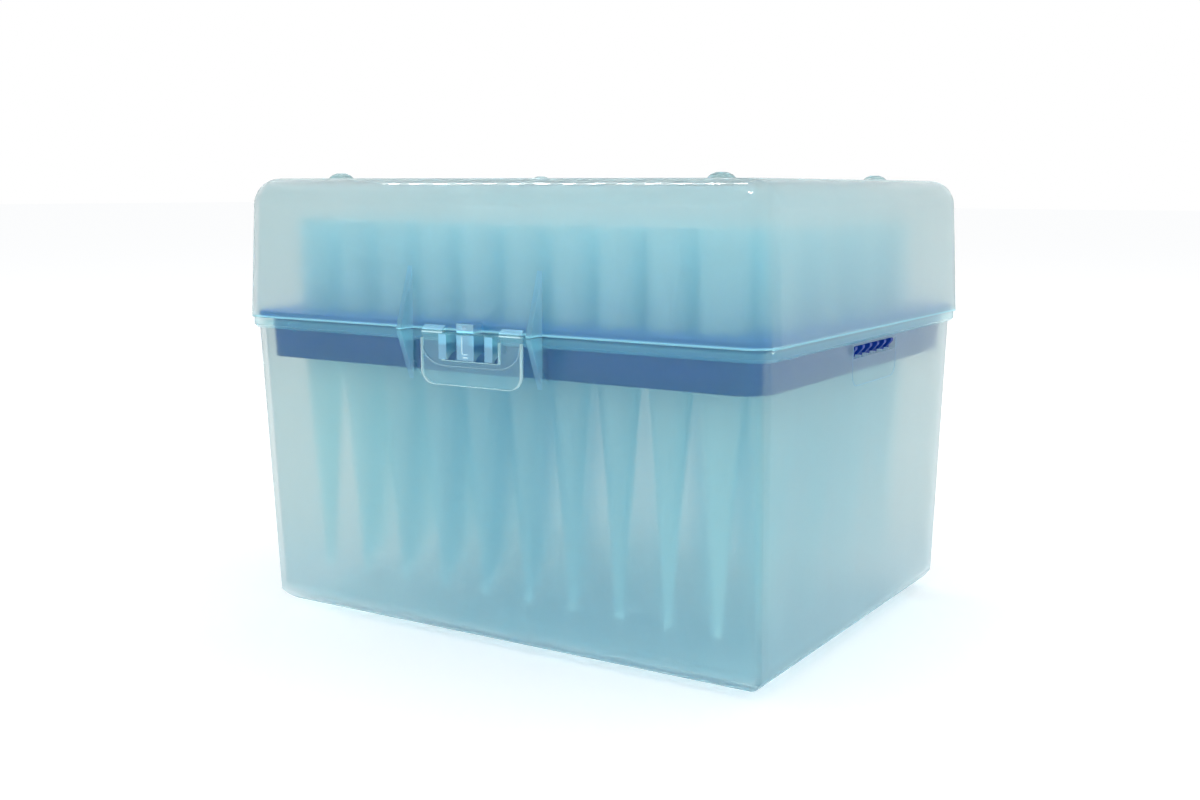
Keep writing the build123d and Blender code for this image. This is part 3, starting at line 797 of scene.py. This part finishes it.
def make_hook_skins():
    """Milky faces with a faint painted glow on the hooks, the stop block and the latch's straps,
    and the painted highlights on them.
    """
    bm = bmesh.new()
    for x, width in HOOKS:
        add_front_plate(bm, x, width, -HOOK_FOOT, -HOOK_TOP)
    finish_plates(bm, "hook_faces", hook_milk_painted_glow, "base")
    bm = bmesh.new()
    add_front_plate(bm, 0, HOOKS[0][1], STOP_GAP, STOP_HEIGHT)
    for side in (-1, 1):
        start = WINDOW_HALF if side > 0 else -LATCH_HALF
        outline = [
            (start, lid_front, seam + STRAP_RISE),
            (start, lid_front, seam + STRAP_RISE + SKIN),
            (start, lid_front - STRAP_OUT, seam + STRAP_EDGE + SKIN),
            (start, lid_front - STRAP_OUT, seam + STRAP_EDGE),
        ]
        add_plate(bm, outline, (LATCH_HALF - WINDOW_HALF, 0, 0))
    finish_plates(bm, "strap_faces", hook_milk_painted_glow, "lid")
    bm = bmesh.new()
    for light in HOOK_LIGHTS:
        add_front_plate(bm, *light, out=HOOK_OUT + SKIN)
    finish_plates(bm, "hook_lights", painted_highlight, "base")
    bm = bmesh.new()
    add_front_plate(bm, *STOP_LIGHT, out=HOOK_OUT + SKIN)
    finish_plates(bm, "stop_light", pale, "lid")


# ---- rack ---------------------------------------------------------------------------------
ROWS = 9
TIPS_PER_ROW = 10
TIP_PITCH = 10.0 * MM
ROW_PITCH = TIP_PITCH * 3 ** 0.5 / 2
HOLE_RADIUS = 4.2 * MM
DECK_CORNER = 3.75 * MM
DECK_EDGE = 0.2 * MM
SKIRT_TOP_IN = Vector((1.70, 1.70)) * MM  # the skirt's top edge, inside the deck's edge
SKIRT_FOOT_IN = Vector((1.81, 2.13)) * MM
SKIRT_CORNER = 4.6 * MM
SKIRT_WALL = 1.2 * MM
SLOT_WIDTH = 21.2 * MM
SLOT_LOW = -5.1 * MM  # heights from the seam
SLOT_HIGH = -2.8 * MM
SNAP_COUNT = 6
SNAP_PITCH = 3.65 * MM
SNAP_THICK = 1.2 * MM
SNAP_REACH = 1.5 * MM
SNAP_EDGE = 0.6 * MM
SNAP_GAP = 0.15 * MM  # between a rib and the slot's edges
SNAP_BEVEL = 0.08 * MM
SKIRT_LAP = 0.05 * MM  # the skirt reaches this far into the deck
TOOTH_IN = 1.72 * MM  # from the lid's side face
TOOTH_DEPTH = 1.0 * MM
TOOTH_WIDTH = 0.4 * MM
TOOTH_HEIGHT = 0.5 * MM
TOOTH_DROP = 0.05 * MM  # below the slot's sill
TOOTH_EDGE = 0.06 * MM


def make_deck():
    """The rack's deck, with ninety round holes in staggered rows."""
    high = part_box("tip_rack")[1]
    curve = bpy.data.curves.new("rack_deck", "CURVE")
    curve.dimensions = "2D"
    curve.fill_mode = "BOTH"
    curve.resolution_u = 6
    curve.extrude = DECK_THICK / 2 - DECK_EDGE
    curve.bevel_depth = DECK_EDGE
    curve.bevel_resolution = 1
    curve.offset = -DECK_EDGE
    add_rounded_rectangle(curve, high.x, high.y, DECK_CORNER)
    for row in range(ROWS):
        shift = TIP_PITCH / 4 * (-1 if row % 2 == 0 else 1)
        y = (row - (ROWS - 1) / 2) * ROW_PITCH
        for n in range(TIPS_PER_ROW):
            x = (n - (TIPS_PER_ROW - 1) / 2) * TIP_PITCH + shift
            add_round(curve, x, y, HOLE_RADIUS)
    finish_curve(curve, "rack_deck", blue, "base", lift=high.z - DECK_THICK / 2)


def make_skirt():
    """The rack's skirt: a rounded band that narrows a little towards its foot."""
    low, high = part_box("tip_rack")
    half = Vector((high.x, high.y))
    top, foot = half - SKIRT_TOP_IN, half - SKIRT_FOOT_IN
    bm = bmesh.new()
    bmesh.ops.create_grid(bm, x_segments=1, y_segments=1, size=1.0)
    bmesh.ops.scale(bm, verts=bm.verts, vec=(foot.x, foot.y, 1))
    bmesh.ops.bevel(
        bm, geom=bm.verts[:], offset=SKIRT_CORNER, segments=8, profile=0.5, affect="VERTICES",
        material=-1,
    )
    bmesh.ops.translate(bm, verts=bm.verts, vec=(0, 0, low.z))
    sheet = bm.faces[:]
    rim = corners_of(bmesh.ops.extrude_edge_only(bm, edges=bm.edges[:])["geom"])
    bmesh.ops.delete(bm, geom=sheet, context="FACES_ONLY")
    bmesh.ops.scale(bm, verts=rim, vec=(top.x / foot.x, top.y / foot.y, 1))
    bmesh.ops.translate(bm, verts=rim, vec=(0, 0, seam - low.z + SKIRT_LAP))
    bmesh.ops.recalc_face_normals(bm, faces=bm.faces)
    piece = finish_piece(bm, "rack_skirt", blue, "base")
    wall = piece.modifiers.new("wall", "SOLIDIFY")
    wall.thickness = SKIRT_WALL
    wall.offset = -1


def make_snaps():
    """The sloped snap ribs that show in the base's side slots."""
    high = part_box("tip_rack")[1]
    bm = bmesh.new()
    top = seam + SLOT_HIGH - SNAP_GAP
    foot = seam + SLOT_LOW + SNAP_GAP
    face = high.x - (SKIRT_TOP_IN.x + SKIRT_FOOT_IN.x) / 2
    back, front = face - SKIRT_WALL / 2, face + SNAP_REACH
    for side in (-1, 1):
        for n in range(SNAP_COUNT):
            y = SLOT_Y + (n - (SNAP_COUNT - 1) / 2) * SNAP_PITCH - SNAP_THICK / 2
            outline = [
                (side * back, y, top),
                (side * front, y, top),
                (side * front, y, top - SNAP_EDGE),
                (side * (face + SNAP_GAP), y, foot),
                (side * back, y, foot),
            ]
            add_plate(bm, outline, (0, SNAP_THICK, 0))
    ease_edges(bm, SNAP_BEVEL)
    finish_piece(bm, "rack_snaps", blue, "base", replaces=("tip_rack",))


def make_slot_teeth():
    """Small pale teeth along each side slot's sill, between the snap ribs; their paleness is a
    painted highlight.
    """
    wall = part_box("lid")[1].x - TOOTH_IN
    foot = seam + SLOT_LOW - TOOTH_DROP
    bm = bmesh.new()
    for side in (-1, 1):
        outer, inner = side * wall, side * (wall - TOOTH_DEPTH)
        for n in range(SNAP_COUNT + 1):
            y = SLOT_Y + (n - SNAP_COUNT / 2) * SNAP_PITCH - TOOTH_WIDTH / 2
            outline = [
                (inner, y, foot),
                (outer, y, foot),
                (outer, y, foot + TOOTH_HEIGHT),
                (inner, y, foot + TOOTH_HEIGHT),
            ]
            add_plate(bm, outline, (0, TOOTH_WIDTH, 0))
    ease_edges(bm, TOOTH_EDGE)
    finish_piece(bm, "slot_teeth", pale, "base")


# ---- tips ---------------------------------------------------------------------------------
TIP_SEGMENTS = 20
TIPS_PER_NODE = TIPS_PER_ROW // 2
HUB_FLAT = 4.2 * MM  # half the width across flats of the CAD tip's hub
BREAK_HEIGHT = 45.0 * MM  # of the hub's lower end above the tip's end
HUB_TOP_RADIUS = 4.32 * MM
BREAK_RADIUS = 4.02 * MM
END_RADIUS = 0.6 * MM
HUB_WALL = 0.75 * MM
END_WALL = 0.3 * MM
RIM_ROUND = 0.3 * MM


def make_tips(node):
    """Five round tips for one CAD node, each turned from one closed profile."""
    low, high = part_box(node)
    middle_y = (low.y + high.y) / 2
    pitch = (high.x - low.x - 2 * HUB_FLAT) / (TIPS_PER_NODE - 1)
    top, foot = high.z, low.z
    break_z = foot + BREAK_HEIGHT
    profile = [
        (END_RADIUS - END_WALL, foot),
        (END_RADIUS, foot),
        (BREAK_RADIUS, break_z),
        (HUB_TOP_RADIUS, top - RIM_ROUND),
        (HUB_TOP_RADIUS - RIM_ROUND, top),
        (HUB_TOP_RADIUS - HUB_WALL, top),
        (BREAK_RADIUS - HUB_WALL, break_z),
    ]
    bm = bmesh.new()
    ring = [bm.verts.new((radius, 0, z)) for radius, z in profile]
    edges = [bm.edges.new((a, b)) for a, b in zip(ring, ring[1:] + ring[:1])]
    bmesh.ops.spin(
        bm, geom=ring + edges, cent=(0, 0, 0), axis=(0, 0, 1), angle=radians(360),
        steps=TIP_SEGMENTS, use_merge=True,
    )
    bmesh.ops.remove_doubles(bm, verts=bm.verts, dist=WELD)
    bmesh.ops.recalc_face_normals(bm, faces=bm.faces)
    bmesh.ops.translate(bm, verts=bm.verts, vec=(low.x + HUB_FLAT, middle_y, 0))
    one = bm.verts[:] + bm.edges[:] + bm.faces[:]
    for step in range(1, TIPS_PER_NODE):
        copy = bmesh.ops.duplicate(bm, geom=one)["geom"]
        bmesh.ops.translate(bm, verts=corners_of(copy), vec=(step * pitch, 0, 0))
    finish_piece(bm, f"{node}_round", natural, "base", replaces=(node,))


# ---- stacking domes -----------------------------------------------------------------------
DOME_PLACES = [(x * 42.0 * MM, y * 35.0 * MM) for x in (-1, 1) for y in (-1, 1)]
DOME_RADIUS = 2.45 * MM
DOME_HEIGHT = 1.0 * MM
DOME_BALL = 1.25 * DOME_HEIGHT  # half the height of the flattened ball that a dome is cut from
DOME_LAP = 0.02 * MM  # each dome reaches this far into the lid


def make_domes():
    """The four round stacking domes on the lid, each over its CAD dome."""
    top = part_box("lid")[1].z
    bm = bmesh.new()
    for x, y in DOME_PLACES:
        ball = bmesh.ops.create_uvsphere(
            bm, u_segments=28, v_segments=16, radius=DOME_RADIUS,
        )["verts"]
        bmesh.ops.scale(bm, verts=ball, vec=(1, 1, DOME_BALL / DOME_RADIUS))
        bmesh.ops.translate(bm, verts=ball, vec=(x, y, top - DOME_BALL))
    foot = top - DOME_HEIGHT - DOME_LAP
    cut = bmesh.ops.bisect_plane(
        bm, geom=bm.verts[:] + bm.edges[:] + bm.faces[:], plane_co=(0, 0, foot),
        plane_no=(0, 0, -1), clear_outer=True,
    )
    rims = [item for item in cut["geom_cut"] if isinstance(item, bmesh.types.BMEdge)]
    bmesh.ops.edgenet_fill(bm, edges=rims)
    bmesh.ops.recalc_face_normals(bm, faces=bm.faces)
    finish_piece(bm, "stacking_domes", lid_shell, "lid")


# ---- assembly -----------------------------------------------------------------------------
moulding = make_moulding_group()
painted_glow_group = make_painted_glow_group()
make_camera()
make_studio()
# Each painted glow, emission that stands in for light, is a height, half width, blur and colour.
RIM_GLOW = (seam + 0.2 * MM, 0.1 * MM, 0.12 * MM, (0.12, 0.29, 0.33))
BEAD_GLOW = (seam - 1.3 * MM, 0.6 * MM, 0.5 * MM, (0.03, 0.09, 0.10))
FOOT_GLOW = (0.0, 1.0 * MM, 24.0 * MM, (0.0, 0.005, 0.018))
DECK_GLOW = (seam + 1.2 * MM, 0.8 * MM, 0.4 * MM, (0.0, 0.08, 0.13))
TIP_END_GLOW = (7.0 * MM, 0.8 * MM, 1.6 * MM, (0.14, 0.2, 0.2))
SHELL_LAMPS = (0.86, 0.92, 0.93)
CLEAR_LAMPS = (0.9, 0.95, 0.96)
FROSTED = dict(ior=1.1, transmission=1.0, tone=0.04, frost=0.08, relief=0.05, lamps=SHELL_LAMPS)
MILKY = dict(
    colour=(0.86, 0.94, 0.96), roughness=0.3, ior=1.1, transmission=1.0, coat=0.5, tone=0.03,
    frost=0.06, relief=0.04, haze=(0.34, 0.74, 1.0), haze_share=0.40, lamps=SHELL_LAMPS,
)
shell = make_plastic(
    "frosted shell", (0.88, 0.893, 0.838), 0.46, coat=0.75, haze=(0.08, 0.60, 0.86),
    haze_share=0.27, edges=(FOOT_GLOW, BEAD_GLOW), **FROSTED,
)
lid_shell = make_plastic(
    "frosted lid", (0.83, 0.855, 0.84), 0.56, coat=0.8, haze=(0.13, 0.66, 0.78),
    haze_share=0.22, edges=(RIM_GLOW,), **FROSTED,
)
clear = make_plastic(
    "clear latch", (0.90, 0.98, 1.0), 0.10, ior=1.15, transmission=1.0, coat=0.8, tone=0.02,
    frost=0.04, relief=0.02, haze=(0.36, 0.86, 1.0), haze_share=0.28, lamps=CLEAR_LAMPS,
)
milky = make_plastic("milky edge", **MILKY)
# Milky plastic with a faint painted glow all over, for the hooks, the stop block and the straps.
hook_milk_painted_glow = make_plastic("milky hooks", painted_glow=(0.07, 0.08, 0.095), **MILKY)
# Pale plastic for the grip line, the slot teeth and the stop block's light; on the teeth and the
# stop block its paleness is a painted highlight.
pale = make_plastic(
    "pale edge", (0.88, 0.95, 0.97), 0.25, ior=1.1, transmission=0.8, coat=0.6, tone=0.03,
    frost=0.05, relief=0.02, haze=(0.62, 0.88, 1.0), haze_share=0.6, lamps=CLEAR_LAMPS,
)
# Painted highlights: a pale plastic with a faint glow, for the latch's edges, the rolls' crests and
# the hooks' lights.
painted_highlight = make_plastic(
    "bright edge", (0.85, 0.95, 0.98), 0.2, ior=1.2, transmission=0.6, coat=0.8, tone=0.03,
    frost=0.05, relief=0.02, haze=(0.80, 0.97, 1.0), haze_share=0.6, lamps=CLEAR_LAMPS,
    painted_glow=(0.16, 0.22, 0.22),
)
blue = make_plastic(
    "rack blue", (0.004, 0.055, 0.40), 0.4, specular=0.25, tone=0.12, frost=0.15, relief=0.15,
    edges=(DECK_GLOW,),
)
natural = make_plastic(
    "tip natural", (0.76, 0.955, 1.0), 0.4, tone=0.05, frost=0.1, relief=0.1, specular=0.3,
    alpha=0.8, through=0.5, lamps=(0.9, 0.96, 0.98), edges=(TIP_END_GLOW,), painted_side_light=True,
)
smooth_node("base", shell, "base")
smooth_node("lid", lid_shell, "lid")
smooth_node("latch", clear, "latch")
make_fins()
make_grip_line()
make_latch_edge_highlights()
make_painted_roll_highlights()
make_hook_skins()
make_deck()
make_skirt()
make_snaps()
make_slot_teeth()
make_slot_panels()
for node in sorted(nodes):
    if node.startswith("tips_"):
        make_tips(node)
make_domes()
